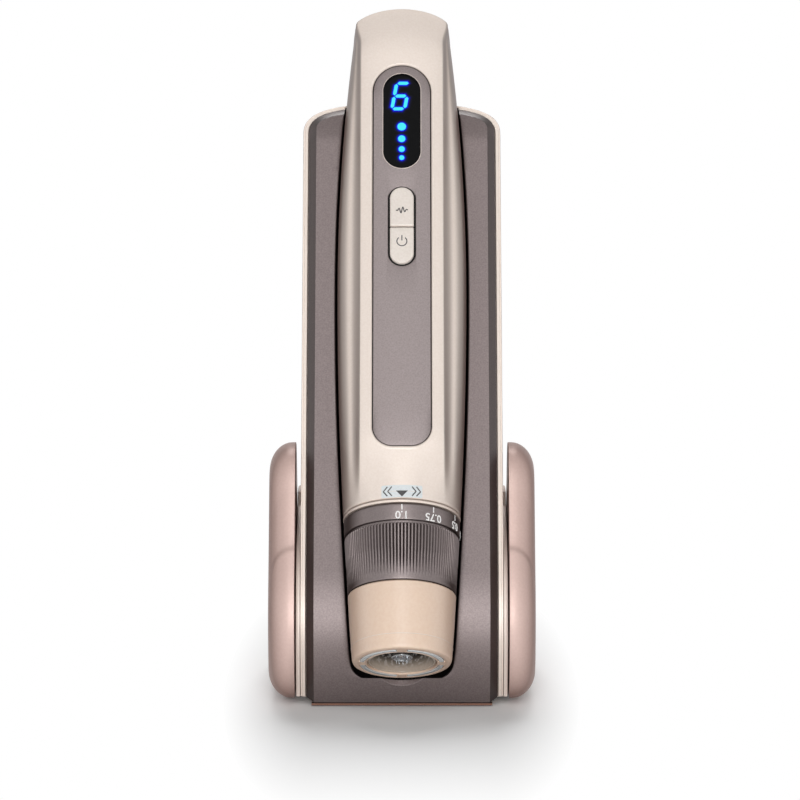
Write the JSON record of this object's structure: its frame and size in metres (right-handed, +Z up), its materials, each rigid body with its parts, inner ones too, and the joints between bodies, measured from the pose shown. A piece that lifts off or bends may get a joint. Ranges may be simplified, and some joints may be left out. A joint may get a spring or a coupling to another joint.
{
  "type": "microneedling pen with charging dock",
  "caption": "Cordless microneedling pen with a knurled depth dial and two buttons, resting nose down in the trough of a leaning charging dock.",
  "frame": {"origin": "middle of the footprint, on the surface the dock's feet stand on", "axes": "+Z up, -Y towards the viewer and the pen's front, +X to the viewer's right"},
  "size_m": [0.0666, 0.104, 0.1697],
  "materials": {
    "champagne": "satin pearl lacquer",
    "taupe": "fine metallic satin paint",
    "dark_taupe": "satin, knurled grip",
    "rose": "soft satin paint",
    "rim_cream": "satin lacquer",
    "beige": "satin moulded plastic",
    "silver": "polished electrode plating",
    "steel": "brushed",
    "copper": "copper anodised strip",
    "gold": "gold plated contact",
    "black_glass": "black gloss window",
    "button_cream": "satin",
    "grey_plastic": "moulded",
    "board": "solder mask",
    "clear": "clear moulded",
    "rubber": "matt",
    "cell_wrap": "printed film over a metal can"
  },
  "bodies": {
    "dock": {"dock_front_panel": "taupe", "dock_back_shell": "rim_cream", "dock_copper_trim": "copper", "charge_pin_block": "grey_plastic", "charge_pin_left": "gold", "charge_pin_right": "gold", "dock_base_block": "champagne", "dock_base_plate": "grey_plastic", "dock_weight": "steel", "dock_board": "board", "dock_usb_socket": "steel", "dock_cheek_left": "rose", "dock_cheek_right": "rose", "foot_front_left": "rubber", "foot_front_right": "rubber", "foot_rear_left": "rubber", "foot_rear_right": "rubber"},
    "pen": {"pen_front_shell": "champagne", "pen_rear_shell": "champagne", "pen_charge_pad_left": "gold", "pen_charge_pad_right": "gold", "pen_face_panel": "taupe", "display_window": "black_glass", "main_board": "board", "mode_switch": "steel", "power_switch": "steel", "display_module": "grey_plastic", "pen_chassis": "grey_plastic", "battery": "cell_wrap", "nose_sleeve": "grey_plastic", "collar_ring": "rim_cream"},
    "dial": {"depth_dial": "dark_taupe"},
    "carriage": {"depth_carriage": "grey_plastic", "motor": "steel"},
    "crank": {"motor_crank": "steel"},
    "needles": {"needle_bar": "steel"},
    "cartridge": {"cartridge_cup": "beige", "electrode_1": "silver", "electrode_2": "silver", "electrode_3": "silver", "electrode_4": "silver", "cartridge_bowl": "clear", "bar_seal": "rubber"},
    "mode_key": {"mode_button": "button_cream"},
    "power_key": {"power_button": "button_cream"}
  },
  "joints": [
    {"name": "pen_lift", "type": "slide", "parent": "dock", "child": "pen", "axis": [0, -0.8746, 0.4848], "range_m": [0, 0.06]},
    {"name": "depth_dial_turn", "type": "hinge", "parent": "pen", "child": "dial", "pos_m": [0, -0.02851, 0.03685], "axis": [0, 0.4848, 0.8746], "range_deg": [-130, 0]},
    {"name": "depth_advance", "type": "slide", "parent": "pen", "child": "carriage", "axis": [0, -0.4848, -0.8746], "range_m": [-0.001, 0]},
    {"name": "motor_spin", "type": "hinge", "parent": "carriage", "child": "crank", "pos_m": [0, -0.02027, 0.05172], "axis": [0, 0.4848, 0.8746], "continuous": true},
    {"name": "needle_stroke", "type": "slide", "parent": "carriage", "child": "needles", "axis": [0, -0.4848, -0.8746], "range_m": [0, 0.0012], "stiffness_N_per_m": 300, "springref_m": -0.0004},
    {"name": "cartridge_twist", "type": "hinge", "parent": "pen", "child": "cartridge", "pos_m": [0, -0.03773, 0.02023], "axis": [0, 0.4848, 0.8746], "range_deg": [0, 30]},
    {"name": "mode_button_press", "type": "slide", "parent": "pen", "child": "mode_key", "axis": [0, 0.8746, -0.4848], "range_m": [0, 0.0005], "stiffness_N_per_m": 600},
    {"name": "power_button_press", "type": "slide", "parent": "pen", "child": "power_key", "axis": [0, 0.8746, -0.4848], "range_m": [0, 0.0005], "stiffness_N_per_m": 600}
  ],
  "couplings": [
    {"joint": "depth_dial_turn", "follows": "depth_advance", "rad_per_m": 2268.9}
  ]
}
